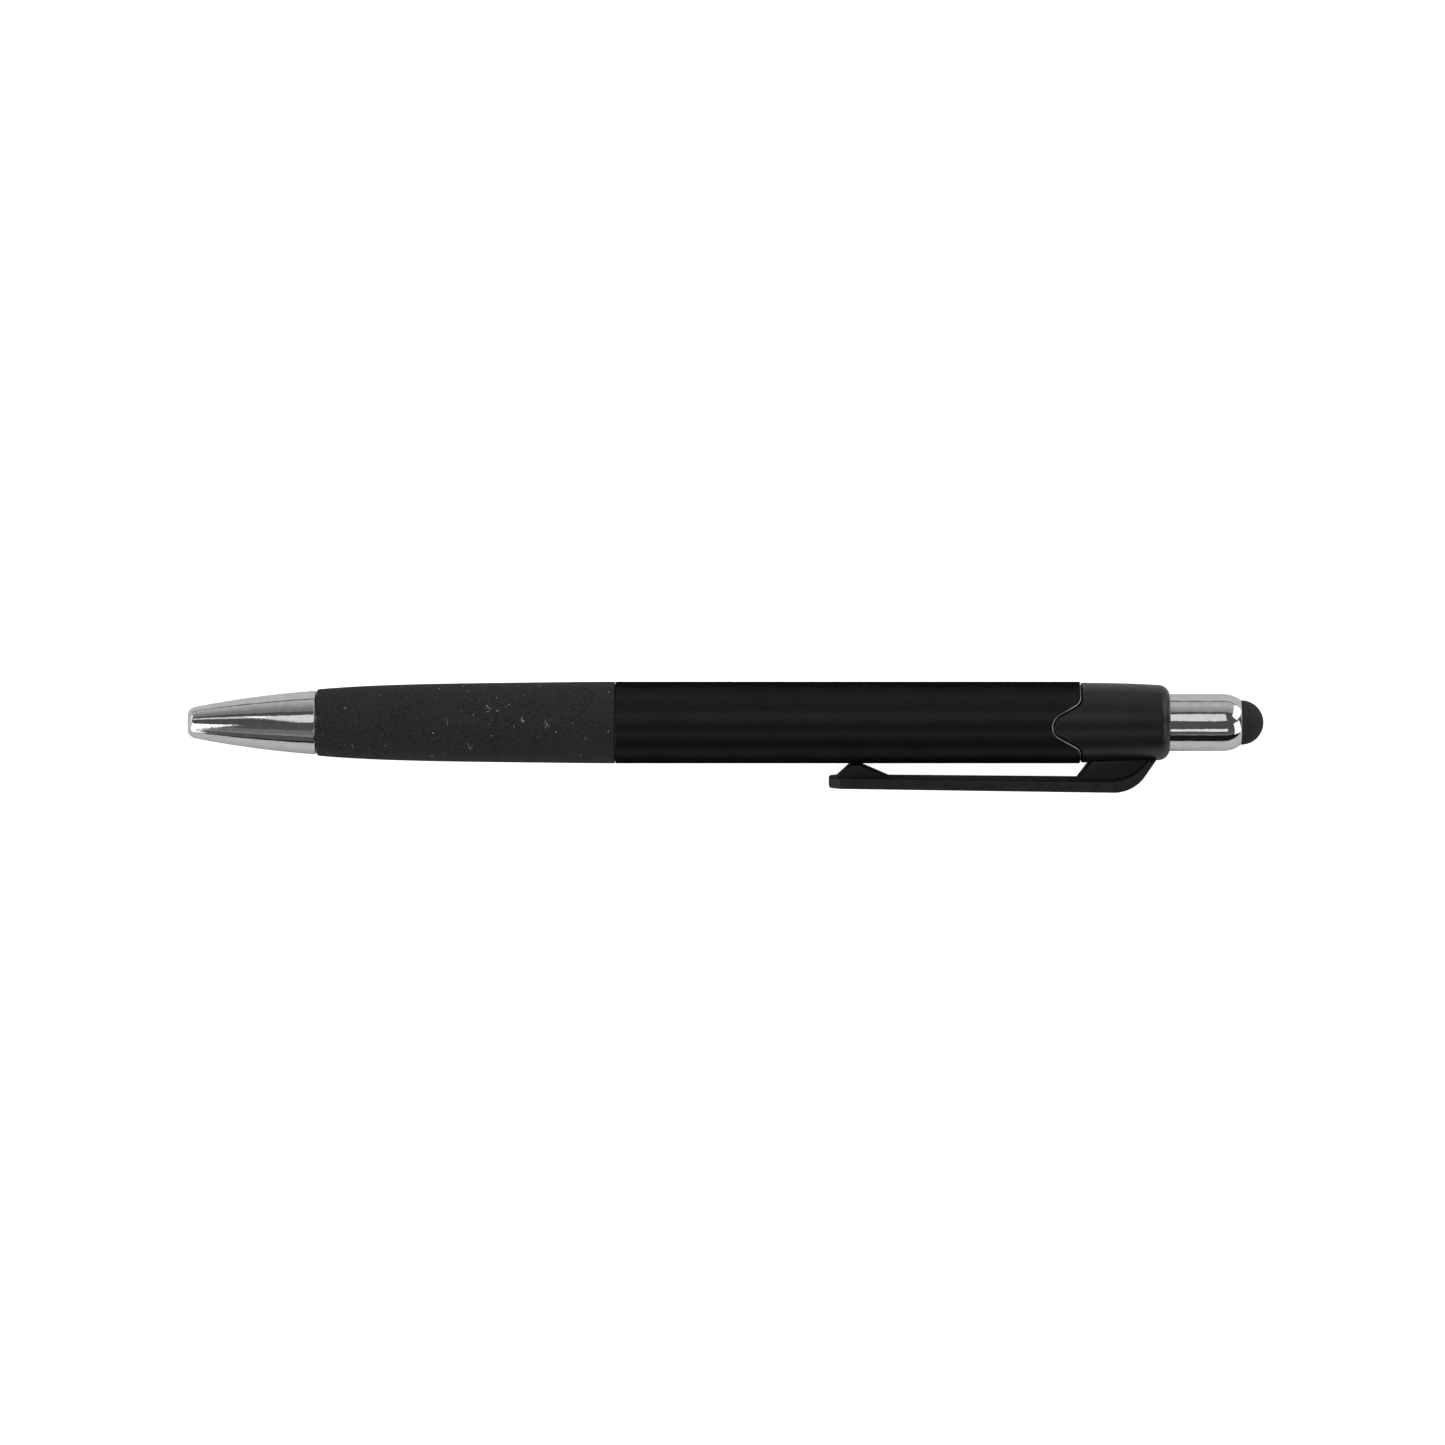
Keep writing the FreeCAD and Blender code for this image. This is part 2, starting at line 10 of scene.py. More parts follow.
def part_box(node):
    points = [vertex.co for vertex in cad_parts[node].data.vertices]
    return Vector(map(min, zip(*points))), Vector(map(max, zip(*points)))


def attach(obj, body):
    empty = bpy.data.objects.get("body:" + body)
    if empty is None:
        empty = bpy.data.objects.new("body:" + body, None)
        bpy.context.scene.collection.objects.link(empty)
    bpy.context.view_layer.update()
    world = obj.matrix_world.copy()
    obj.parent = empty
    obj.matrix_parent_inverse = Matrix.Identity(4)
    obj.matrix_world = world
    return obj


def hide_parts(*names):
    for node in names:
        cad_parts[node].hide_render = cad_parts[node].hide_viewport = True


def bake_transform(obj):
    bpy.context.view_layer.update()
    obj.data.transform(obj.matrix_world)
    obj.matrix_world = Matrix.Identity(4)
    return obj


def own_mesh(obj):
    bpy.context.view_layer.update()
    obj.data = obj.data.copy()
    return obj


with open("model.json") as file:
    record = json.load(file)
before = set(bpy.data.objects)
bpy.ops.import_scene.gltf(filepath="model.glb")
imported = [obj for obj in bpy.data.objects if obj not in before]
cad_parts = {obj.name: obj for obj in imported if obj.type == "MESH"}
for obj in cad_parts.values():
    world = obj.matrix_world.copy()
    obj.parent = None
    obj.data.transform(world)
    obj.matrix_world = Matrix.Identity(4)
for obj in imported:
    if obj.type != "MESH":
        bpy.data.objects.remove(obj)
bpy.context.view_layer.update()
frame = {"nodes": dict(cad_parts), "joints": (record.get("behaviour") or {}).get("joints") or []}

MM = 0.001
TURNS = 256             # points in a ring about the pen's axis
CORNER_STEPS = 8        # steps round a rounded corner
SHARP_BEND = math.radians(150)
SHARP_EDGE = 0.03

# Radii, heights and stations of the pen, in mm from the nose's front face. They follow the CAD parts, apart
# from the nose's front corner, the seam's gap, the bead, the spring's wire, the inner bores and the clip's
# foot and web inside the cap. Those differ by up to 0.35.
NOSE_FACE_R = 1.4
NOSE_CORNER = (0.95, 2.115)
NOSE_REAR = 16.9
NOSE_BORE_R = 2.15
POINT_HOLE_R = 1.25
THREAD_START = 17.5
THREAD_TURNS = 4.8
THREAD_CORE_R = 2.95
THREAD_ROOT_R = 2.85
THREAD_DEPTH = 0.35
GRIP_FRONT = 17.0
GRIP_REAR = 56.35
GRIP_GAP = 0.02
BARREL_R = 5.4
NECK_R = 3.85
THREAD_HOLE_R = 3.05
BARREL_BORE_R = 4.72
BORE_FRONT = 24.2
BORE_FRONT_R = 2.9
SHOULDER = 56.4
CAP_BORE_START = 108.0
SEAM = 117.75
TONGUE_REACH = 3.75
TONGUE_TIP_R = 1.75
TONGUE_ROOT_R = 1.2
TONGUE_FLANK = math.radians(30)
SEAM_GAP = 0.15
CAP_FRONT_R = 5.28
CAP_TAPER = ((119.2, 5.26), (122.5, 5.21), (125.4, 5.12), (128.0, 4.99))
CAP_SKIRT_FRONT = 110.0
CAP_SKIRT_R = 4.66
CAP_BORE_R = 4.2
CAP_MOUTH = 126.5
CAP_REAR = 129.5
BUTTON_HOLE_R = 3.83
CLIP_TIP = 84.6
CLIP_TIP_HEIGHT = 8.57
CLIP_TIP_HALF_WIDTH = 2.3
CLIP_TIP_CHAMFER = (1.4, 1.1)
CLIP_TIP_ROUND = 0.3
CLIP_ROOT = 122.2
CLIP_ROOT_HEIGHT = 9.0
CLIP_ROOT_HALF_WIDTH = 3.1
CLIP_THICKNESS = 1.45
CLIP_EDGE = 0.2
CLIP_BEND = (4, 5, math.radians(53))        # the root's bend: its centre's height, its radius and its angle
WEB_HALF_WIDTH = 2.1
BEAD_HALF_WIDTH = 1.7
BUTTON_R = 3.77
BUTTON_BORE_R = 3.22
BUTTON_FLANGE_R = 4.1
DOME_FRONT = 139.05
DOME_R = 2.95
SPRING_WIRE_R = 0.17
SPRING_MEAN_R = 1.85
SPRING_FRONT = 5.0
SPRING_REAR = 27.5
SPRING_TURNS = 14.0
SPRING_CLOSED_TURNS = 1.25


def pen_matrix():
    """From pen coordinates in mm (x along the pen, y towards the clip, z across) to the frame."""
    barrel_low, barrel_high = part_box("barrel")
    nose_low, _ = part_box("nose_cone")
    hinge = next(joint for joint in frame["joints"] if joint["name"] == "clip_flex")
    along = Vector((1, 0, 0))
    across = -Vector(hinge["axis"])
    middle = (barrel_low + barrel_high) / 2
    turn = Matrix((along, across.cross(along), across)).transposed().to_4x4()
    return Matrix.Translation((nose_low.x, middle.y, middle.z)) @ turn @ Matrix.Scale(MM, 4)


PEN = pen_matrix()


# ---------------------------------------------------------------- outlines

def arc_through(a, b, c, count):
    """Points on the circle through a, b and c, from a to c."""
    (ax, ay), (bx, by), (cx, cy) = a, b, c
    d = 2 * (ax * (by - cy) + bx * (cy - ay) + cx * (ay - by))
    a2, b2, c2 = ax * ax + ay * ay, bx * bx + by * by, cx * cx + cy * cy
    ox = (a2 * (by - cy) + b2 * (cy - ay) + c2 * (ay - by)) / d
    oy = (a2 * (cx - bx) + b2 * (ax - cx) + c2 * (bx - ax)) / d
    radius = math.hypot(ax - ox, ay - oy)
    start = math.atan2(ay - oy, ax - ox)
    turn = math.remainder(math.atan2(by - oy, bx - ox) - start, math.tau)
    turn += math.remainder(math.atan2(cy - oy, cx - ox) - start - turn, math.tau)
    bearings = start + turn * np.linspace(0, 1, count)
    return [(ox + radius * math.cos(bearing), oy + radius * math.sin(bearing)) for bearing in bearings]


def rounded(points):
    """A closed outline; a point's third number is its corner's radius, and sharp bends get extra points."""
    result = []
    for i, point in enumerate(points):
        corner = Vector(point[:2])
        before = Vector(points[i - 1][:2]) - corner
        after = Vector(points[(i + 1) % len(points)][:2]) - corner
        if len(point) == 2:
            sharp = before.angle(after) < SHARP_BEND and corner.y > 0
            for side in ((before, None, after) if sharp else (None,)):
                near = side.normalized() * min(SHARP_EDGE, side.length / 3) if side else Vector((0, 0))
                result.append(tuple(corner + near))
            continue
        radius = point[2]
        half = before.angle(after) / 2
        reach = radius / math.tan(half)
        first = corner + before.normalized() * reach
        last = corner + after.normalized() * reach
        centre = corner + (before.normalized() + after.normalized()).normalized() * radius / math.sin(half)
        start = math.atan2(first.y - centre.y, first.x - centre.x)
        turn = math.remainder(math.atan2(last.y - centre.y, last.x - centre.x) - start, math.tau)
        if before.length > 3 * reach:
            result.append(tuple(corner + before.normalized() * reach * 1.6))
        for t in np.linspace(0, 1, CORNER_STEPS + 1):
            angle = start + turn * t
            result.append((centre.x + radius * math.cos(angle), centre.y + radius * math.sin(angle)))
        if after.length > 3 * reach:
            result.append(tuple(corner + after.normalized() * reach * 1.6))
    return result


def smooth_curve(points, count):
    """A smooth curve through a few points, as one polynomial in x."""
    xs, ys = zip(*points)
    middle = sum(xs) / len(xs)
    fit = np.polyfit(np.array(xs) - middle, ys, len(xs) - 1)
    at = np.linspace(xs[0], xs[-1], count)
    return list(zip(at, np.polyval(fit, at - middle)))


# ---------------------------------------------------------------- meshes

def finish_mesh(name, bm, material):
    bmesh.ops.recalc_face_normals(bm, faces=bm.faces)
    for face in bm.faces:
        face.smooth = True
    mesh = bpy.data.meshes.new(name)
    bm.to_mesh(mesh)
    bm.free()
    mesh.transform(PEN)
    mesh.materials.append(material)
    piece = bpy.data.objects.new(name, mesh)
    bpy.context.scene.collection.objects.link(piece)
    return piece


def add_rings(bm, rings, closed, wear_and_painted_light=()):
    """Joins rings of points into a skin; closed also joins the last to the first. The listed rings are marked
    for a lighter painted colour: painted highlight and wear on the barrel's seam, painted light on the clip's
    blade.
    """
    mark = bm.verts.layers.float.new("wear_and_painted_light") if wear_and_painted_light else None
    rows = [[bm.verts.new(point) for point in ring] for ring in rings]
    for i in wear_and_painted_light:
        for vert in rows[i]:
            vert[mark] = 1
    pairs = list(zip(rows, rows[1:]))
    if closed:
        pairs.append((rows[-1], rows[0]))
    for low, high in pairs:
        for i in range(len(low)):
            bm.faces.new((low[i - 1], low[i], high[i], high[i - 1]))
    return rows


def cap_ring(bm, row):
    bm.faces.new(row)


def angles(count=TURNS):
    return np.arange(count) * math.tau / count


def ring(x, r, count=TURNS):
    """A ring about the pen's axis; x and r are numbers, or one number for each angle."""
    a = angles(count)
    return np.stack([x + 0 * a, r * np.cos(a), r * np.sin(a)], axis=1)


def lathe(bm, outline, count=TURNS):
    """Turns a closed outline of (x, r) points about the pen's axis; a run along the axis is left out."""
    rings = [ring(x, r, count) for x, r in outline if r > 1e-6]
    hollow = len(rings) == len(outline)
    rows = add_rings(bm, rings, hollow)
    if not hollow:
        cap_ring(bm, rows[0])
        cap_ring(bm, rows[-1])


def block(bm, outline, half_width, edge):
    """An outline in the x-y plane given a thickness across the pen, with rounded edges."""
    low = [bm.verts.new((x, y, -half_width)) for x, y in outline]
    face = bm.faces.new(low)
    grown = bmesh.ops.extrude_face_region(bm, geom=[face])
    top = [v for v in grown["geom"] if isinstance(v, bmesh.types.BMVert)]
    bmesh.ops.translate(bm, verts=top, vec=(0, 0, 2 * half_width))
    edges = list({e for v in low + top for e in v.link_edges})
    bmesh.ops.bevel(bm, geom=edges, offset=edge, segments=3, profile=0.5, affect="EDGES")


# ---------------------------------------------------------------- materials

class Nodes:
    """A material's node tree, built up around one Principled shader."""

    def __init__(self, name, **settings):
        self.material = bpy.data.materials.new(name)
        self.material.use_nodes = True
        self.tree = self.material.node_tree
        self.shader = self.tree.nodes["Principled BSDF"]
        for key, value in settings.items():
            self.shader.inputs[key.replace("_", " ")].default_value = value
        coordinates = self.tree.nodes.new("ShaderNodeTexCoord")
        self.place = coordinates.outputs["Object"]
        self.last_bump = None

    def node(self, kind, **values):
        made = self.tree.nodes.new("ShaderNode" + kind)
        for key, value in values.items():
            if isinstance(value, bpy.types.NodeSocket):
                self.tree.links.new(value, made.inputs[key.replace("_", " ")])
            elif key in made.bl_rna.properties:
                setattr(made, key, value)
            else:
                made.inputs[key.replace("_", " ")].default_value = value
        return made

    def scaled(self, x, y, z):
        """The place on the piece, with each axis in its own number of grains per metre."""
        return self.node("Mapping", Vector=self.place, Scale=(x, y, z)).outputs["Vector"]

    def noise(self, scale, detail=2.0, roughness=0.5, place=None):
        settings = {"Scale": scale, "Detail": detail, "Roughness": roughness}
        return self.node("TexNoise", Vector=place or self.place, **settings).outputs["Fac"]

    def ramp(self, value, *stops):
        made = self.node("ValToRGB", Fac=value)
        ends = made.color_ramp.elements
        while len(ends) < len(stops):
            ends.new(0.5)
        for element, (position, shade) in zip(ends, stops):
            element.position = position
            element.color = (*shade, 1) if isinstance(shade, tuple) else (shade, shade, shade, 1)
        return made.outputs["Color"]

    def between(self, value, low, high):
        made = self.node("MapRange", Value=value)
        made.inputs["From Min"].default_value = 0.3
        made.inputs["From Max"].default_value = 0.7
        made.inputs["To Min"].default_value = low
        made.inputs["To Max"].default_value = high
        return made.outputs["Result"]

    def math(self, operation, a, b):
        made = self.tree.nodes.new("ShaderNodeMath")
        made.operation = operation
        for socket, value in zip(made.inputs, (a, b)):
            if isinstance(value, bpy.types.NodeSocket):
                self.tree.links.new(value, socket)
            else:
                socket.default_value = value
        return made.outputs[0]

    def mix(self, amount, a, b):
        made = self.tree.nodes.new("ShaderNodeMix")
        made.data_type = "RGBA"
        sockets = {s.identifier: s for s in made.inputs}
        for key, value in (("Factor_Float", amount), ("A_Color", a), ("B_Color", b)):
            if isinstance(value, bpy.types.NodeSocket):
                self.tree.links.new(value, sockets[key])
            else:
                sockets[key].default_value = (*value, 1)
        return next(s for s in made.outputs if s.identifier == "Result_Color")

    def bump(self, height, strength, distance):
        made = self.node("Bump", Height=height, Strength=strength, Distance=distance)
        if self.last_bump:
            self.tree.links.new(self.last_bump, made.inputs["Normal"])
        self.last_bump = made.outputs["Normal"]
        self.tree.links.new(self.last_bump, self.shader.inputs["Normal"])

    def set(self, key, value):
        self.tree.links.new(value, self.shader.inputs[key])


def chrome():
    """Bright plate with faint streaks along the pen and a light haze."""
    m = Nodes("bright_chrome", Metallic=1.0)
    streaks = m.noise(1.0, 3.0, 0.55, m.scaled(220, 1300, 1300))
    haze = m.noise(900, 4.0, 0.6)
    m.set("Base Color", m.ramp(haze, (0.35, (0.68, 0.68, 0.69)), (0.7, (0.78, 0.78, 0.79))))
    m.set("Roughness", m.between(haze, 0.035, 0.09))
    m.bump(streaks, 0.35, 0.00003)
    m.bump(m.noise(2600, 2.0), 0.02, 0.0002)
    return m.material


# Sizes of dust: cells per metre, the least share of a cell that shows, the widest speck and its shade.
DUST = ((1700.0, 0.4, 0.14, 0.11), (1300.0, 0.5, 0.11, 0.5), (400.0, 0.6, 0.04, 0.45))
LINT_SHADE = (0.25, 0.25, 0.245)


def rubber(name, dark, light, grain, dusty):
    """Matt moulded rubber with fine pores; a dusty one also carries specks and a few short curls of lint."""
    m = Nodes(name, Specular_IOR_Level=0.3)
    cloud = m.noise(260, 4.0, 0.6)
    pores = m.noise(grain, 3.0, 0.65)
    colour = m.mix(m.between(cloud, 0.0, 1.0), dark, light)
    colour = m.mix(m.between(pores, 0.0, 1.0), colour, tuple(2.4 * c for c in light))
    if dusty:
        for cells, least, most, pale in DUST:
            cell = m.node("TexVoronoi", Vector=m.place, Scale=cells, Randomness=1.0)
            size = m.node("SeparateColor", Color=cell.outputs["Color"]).outputs["Red"]
            reach = m.math("MULTIPLY", m.math("SUBTRACT", size, least), most / (1 - least))
            speck = m.math("LESS_THAN", cell.outputs["Distance"], reach)
            colour = m.mix(speck, colour, (pale, pale, pale))
        wander = m.node("TexNoise", Vector=m.place, Scale=420.0, Detail=1.0)
        bent = m.node("VectorMath", operation="MULTIPLY_ADD")
        m.tree.links.new(wander.outputs["Color"], bent.inputs[0])
        bent.inputs[1].default_value = (0.004, 0.004, 0.004)
        m.tree.links.new(m.place, bent.inputs[2])
        edge = m.node("TexVoronoi", Vector=bent.outputs["Vector"], Scale=330.0, feature="DISTANCE_TO_EDGE")
        line = m.math("LESS_THAN", edge.outputs["Distance"], 0.008)
        where = m.math("GREATER_THAN", m.noise(520, 0.0), 0.755)
        colour = m.mix(m.math("MULTIPLY", line, where), colour, LINT_SHADE)
    m.set("Base Color", colour)
    m.set("Roughness", m.between(pores, 0.72, 0.92))
    m.bump(pores, 0.5, 0.00006)
    m.bump(cloud, 0.15, 0.00008)
    return m.material


def plastic(name, dark, light, rough, grain, depth, shine, wear_and_painted_light=None, lacquer=0.0):
    """Moulded plastic; lacquer is the share of a dark metallic paint that stays dark at glancing angles.
    Marked vertices are painted a lighter colour, which stands in for highlight and light.
    """
    glancing = 1 - 0.95 * (lacquer > 0)
    tint = (glancing, glancing, glancing, 1)
    m = Nodes(name, Specular_IOR_Level=shine, Metallic=lacquer, Specular_Tint=tint)
    texture = m.noise(grain, 3.0, 0.6)
    cloud = m.noise(300, 3.0, 0.5)
    colour = m.mix(m.between(cloud, 0.0, 1.0), dark, light)
    # Marked vertices get the lighter colour: a painted highlight along the barrel's seam, partly wear, and
    # painted light on the clip's blade against the painted shade of its web.
    if wear_and_painted_light:
        edge = m.node("Attribute", attribute_name="wear_and_painted_light").outputs["Fac"]
        colour = m.mix(m.math("MULTIPLY", edge, m.between(m.noise(500, 2.0), 0.3, 1.0)), colour, wear_and_painted_light)
    m.set("Base Color", colour)
    m.set("Roughness", m.between(texture, rough - 0.05, rough + 0.07))
    m.bump(texture, depth, 0.00003)
    return m.material


def metal(name, dark, light, rough, along, across):
    """Turned or drawn metal: fine marks, long along the grain."""
    m = Nodes(name, Metallic=1.0)
    marks = m.noise(1.0, 3.0, 0.6, m.scaled(along, across, across))
    m.set("Base Color", m.mix(m.between(marks, 0.0, 1.0), dark, light))
    m.set("Roughness", m.between(marks, rough - 0.06, rough + 0.08))
    m.bump(marks, 0.3, 0.00001)
    return m.material


def clear(name, colour, deep, rough, transmission):
    """Something that light passes through, with a faint cloud in it."""
    m = Nodes(name, Transmission_Weight=transmission, IOR=1.46)
    cloud = m.noise(400, 2.0, 0.5)
    m.set("Base Color", m.mix(m.between(cloud, 0.0, 1.0), colour, deep))
    m.set("Roughness", m.between(cloud, rough - 0.04, rough + 0.06))
    m.bump(cloud, 0.1, 0.00002)
    return m.material


CHROME = chrome()
GRIP_RUBBER = rubber("moulded_grip_rubber", (0.004, 0.004, 0.0042), (0.014, 0.014, 0.0144), 2600, True)
DOME_RUBBER = rubber("stylus_dome_rubber", (0.010, 0.010, 0.0104), (0.0155, 0.0155, 0.0159), 3600, False)
# The barrel's seam bevel is painted pale grey: a painted highlight along the edge, partly also wear.
BARREL_BLACK = plastic(
    "satin_black_barrel", (0.024, 0.024, 0.025), (0.029, 0.029, 0.030), 0.34, 7000, 0.05, 0.0,
    wear_and_painted_light=(0.5, 0.5, 0.5), lacquer=0.85,
)
CAP_BLACK = plastic(
    "fine_grained_black", (0.005, 0.005, 0.0055), (0.0085, 0.0085, 0.009), 0.33, 3600, 0.5, 0.5,
)
# The clip's blade is painted lighter than its web and bead: painted light on the blade, and painted shade on
# the web that sits in the barrel's shadow.
CLIP_BLACK = plastic(
    "clip_black", (0.005, 0.005, 0.0055), (0.008, 0.008, 0.0085), 0.38, 3600, 0.5, 0.35,
    wear_and_painted_light=(0.019, 0.019, 0.0195),
)
ACETAL = plastic("natural_acetal", (0.72, 0.72, 0.69), (0.80, 0.80, 0.77), 0.42, 3000, 0.2, 0.5)
SPRING_WIRE = metal("drawn_spring_wire", (0.45, 0.45, 0.46), (0.62, 0.62, 0.63), 0.28, 9000, 9000)
REFILL_CLEAR = clear("clear_refill_tube", (0.86, 0.88, 0.90), (0.78, 0.81, 0.85), 0.18, 0.75)
INK = clear("black_ink", (0.006, 0.006, 0.010), (0.012, 0.012, 0.018), 0.12, 0.05)
GREASE = clear("ink_grease", (0.75, 0.70, 0.48), (0.66, 0.60, 0.38), 0.2, 0.5)
BRASS = metal("turned_brass", (0.62, 0.44, 0.18), (0.78, 0.58, 0.27), 0.3, 12000, 900)
POINT_METAL = metal("turned_nickel_silver", (0.52, 0.49, 0.43), (0.68, 0.65, 0.58), 0.26, 12000, 900)
CARBIDE = metal("ground_carbide", (0.20, 0.20, 0.205), (0.32, 0.32, 0.325), 0.2, 8000, 8000)


# ---------------------------------------------------------------- the pieces

def nose_cone():
    """The chrome cone with the hole for the point, and the male thread behind its shoulder."""
    face = arc_through((0, NOSE_FACE_R), (0.393, 1.867), NOSE_CORNER, 18)
    side = arc_through(NOSE_CORNER, (8.8, 3.4), (16.7, 4.21), 56)[1:]
    shoulder = [(NOSE_REAR, 4.225, 0.12), (NOSE_REAR, THREAD_CORE_R), (22.6, THREAD_CORE_R), (23.0, 2.55)]
    bore = [(23.0, NOSE_BORE_R), (SPRING_FRONT, NOSE_BORE_R), (SPRING_FRONT, POINT_HOLE_R)]
    bm = bmesh.new()
    lathe(bm, rounded([(0, POINT_HOLE_R, 0.05)] + face + side + shoulder + bore))
    steps = 64
    rings = []
    for t in np.arange(0, THREAD_TURNS, 1 / steps):
        a = t * math.tau
        x = THREAD_START + t
        crest = THREAD_CORE_R + min(1, 6 * t, 6 * (THREAD_TURNS - t)) * THREAD_DEPTH
        corners = [(THREAD_ROOT_R, -0.3), (crest, -0.15), (crest, 0.15), (THREAD_ROOT_R, 0.3)]
        rings.append([(x + dx, r * math.cos(a), -r * math.sin(a)) for r, dx in corners])
    rows = add_rings(bm, rings, False)
    cap_ring(bm, rows[0])
    cap_ring(bm, rows[-1])
    piece = finish_mesh("nose_shell", bm, CHROME)
    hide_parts("nose_cone")
    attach(piece, "nose")


def grip_sleeve():
    """The rubber sleeve, swelling from the nose to the barrel's own radius."""
    swell = smooth_curve([(17.4, 4.43), (22.1, 4.76), (31.6, 5.1), (44.3, 5.29), (56.15, BARREL_R)], 60)
    front = arc_through((GRIP_FRONT, 4.03), (17.117, 4.313), (17.4, 4.43), CORNER_STEPS)
    inner = NECK_R + GRIP_GAP
    rear = [(GRIP_REAR, BARREL_R, 0.1), (GRIP_REAR, inner)]
    bm = bmesh.new()
    lathe(bm, rounded([(GRIP_FRONT, inner)] + front + swell[1:] + rear))
    piece = finish_mesh("grip_rubber_sleeve", bm, GRIP_RUBBER)
    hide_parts("grip_sleeve")
    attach(piece, "barrel")


def seam_x(height):
    """The scalloped seam's place along the pen at a height y above or below the axis."""
    y = np.abs(height)
    tip_middle = SEAM - TONGUE_REACH + TONGUE_TIP_R
    tip_x = tip_middle - TONGUE_TIP_R * math.sin(TONGUE_FLANK)
    tip_y = TONGUE_TIP_R * math.cos(TONGUE_FLANK)
    corner_y = tip_y + (SEAM - tip_x) * math.tan(TONGUE_FLANK)
    tangent = TONGUE_ROOT_R * math.tan((math.pi / 2 - TONGUE_FLANK) / 2)
    root_y = corner_y - tangent * math.sin(TONGUE_FLANK)
    end_y = corner_y + tangent
    tip = tip_middle - np.sqrt(np.maximum(TONGUE_TIP_R**2 - y**2, 0))
    flank = tip_x + (y - tip_y) / math.tan(TONGUE_FLANK)
    root = SEAM - TONGUE_ROOT_R + np.sqrt(np.maximum(TONGUE_ROOT_R**2 - (y - end_y) ** 2, 0))
    return np.select([y < tip_y, y < root_y, y < end_y], [tip, flank, root], SEAM)


def seam_ring(offset, r):
    """A ring along the seam, moved back by an offset square to the seam's line."""
    y = BARREL_R * np.cos(angles())
    slope = (seam_x(y + 0.02) - seam_x(y - 0.02)) / 0.04
    lean = np.minimum(np.sqrt(1 + slope**2), 2.2)
    return ring(seam_x(y) + offset * lean, r)


def barrel():
    """The sleeve's neck, the shoulder behind it, and the straight tube back to the scalloped seam."""
    neck = ((GRIP_FRONT, THREAD_HOLE_R), (GRIP_FRONT, NECK_R), (56.37, NECK_R), (SHOULDER, NECK_R + 0.03))
    rings = [ring(x, r) for x, r in neck]
    corner = ((SHOULDER, BARREL_R - 0.16), (56.447, BARREL_R - 0.047), (56.56, BARREL_R))
    shoulder = [(SHOULDER, BARREL_R - 0.2), *arc_through(*corner, CORNER_STEPS), (56.65, BARREL_R)]
    rings += [ring(x, r) for x, r in shoulder]
    rings += [ring(x, BARREL_R) for x in np.linspace(58, CAP_BORE_START, 26)]
    back = seam_ring(-0.6, BARREL_R)
    start = ring(CAP_BORE_START, BARREL_R)
    rings += [start + (back - start) * t for t in (0.25, 0.5, 0.75, 1.0)]
    bevel = ((-0.3, 0), (-0.2, 0), (-0.16, 0), (-0.10, 0.012), (-0.05, 0.04), (-0.015, 0.08), (0, 0.14))
    # These bevel rows are painted pale: a painted highlight along the seam's edge, partly wear.
    wear_and_painted_light = range(len(rings) + 3, len(rings) + 6)
    rings += [seam_ring(offset, BARREL_R - drop) for offset, drop in bevel]
    rings.append(seam_ring(0, BARREL_BORE_R))
    bore = ((CAP_BORE_START, BARREL_BORE_R), (58.5, BARREL_BORE_R), (56.0, BORE_FRONT_R))
    bore += ((BORE_FRONT, BORE_FRONT_R), (BORE_FRONT, THREAD_HOLE_R))
    rings += [ring(x, r) for x, r in bore]
    bm = bmesh.new()
    add_rings(bm, rings, True, wear_and_painted_light)
    piece = finish_mesh("barrel_tube", bm, BARREL_BLACK)
    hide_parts("barrel")
    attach(piece, "barrel")


def rear_cap():
    """The collar behind the seam, with its tongues, its rounded rear edge and the skirt inside the barrel."""
    xs, rs = zip(*smooth_curve([(SEAM, CAP_FRONT_R), *CAP_TAPER], 30))
    rounding = ((0, 0.14), (0.015, 0.09), (0.05, 0.045), (0.10, 0.012), (0.15, 0), (0.2, 0), (0.6, 0))
    rings = [seam_ring(SEAM_GAP + offset, CAP_FRONT_R - drop) for offset, drop in rounding]
    front = rings[-1][:, 0]
    for t in np.linspace(0, 1, 8)[1:]:
        x = front + (119.5 - front) * t
        rings.append(ring(x, np.interp(x, xs, rs)))
    rings += [ring(x, np.interp(x, xs, rs)) for x in np.linspace(119.9, 127.9, 20)]
    corner = arc_through(CAP_TAPER[-1], (129.08, 4.6), (CAP_REAR, 4.0), 20)
    rings += [ring(x, r) for x, r in corner]
    lip = [(CAP_REAR, 4.0), (CAP_REAR, BUTTON_HOLE_R, 0.05), (CAP_MOUTH, BUTTON_HOLE_R), (CAP_MOUTH, 4.0)]
    rings += [ring(x, r) for x, r in rounded(lip)[1:-1]]
    skirt = ((CAP_MOUTH, CAP_BORE_R), (CAP_SKIRT_FRONT, CAP_BORE_R), (CAP_SKIRT_FRONT, CAP_SKIRT_R))
    rings += [ring(x, r) for x, r in skirt]
    rings.append(seam_ring(SEAM_GAP, CAP_SKIRT_R))
    bm = bmesh.new()
    add_rings(bm, rings, True)
    piece = finish_mesh("cap_shell", bm, CAP_BLACK)
    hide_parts("rear_cap")
    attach(piece, "barrel")


def clip_section(outer, inner, half_width, inset):
    """One rounded rectangle across the clip's blade, shrunk all round by an inset."""
    outer, inner = Vector(outer), Vector(inner)
    thick = (outer - inner).length
    up = (outer - inner) / thick
    edge = max(CLIP_EDGE - inset, 0.02)
    w, low, high = half_width - inset, inset, thick - inset
    outline = rounded([(w, low, edge), (w, high, edge), (-w, high, edge), (-w, low, edge)])
    return [(inner.x + up.x * b, inner.y + up.y * b, a) for a, b in outline]


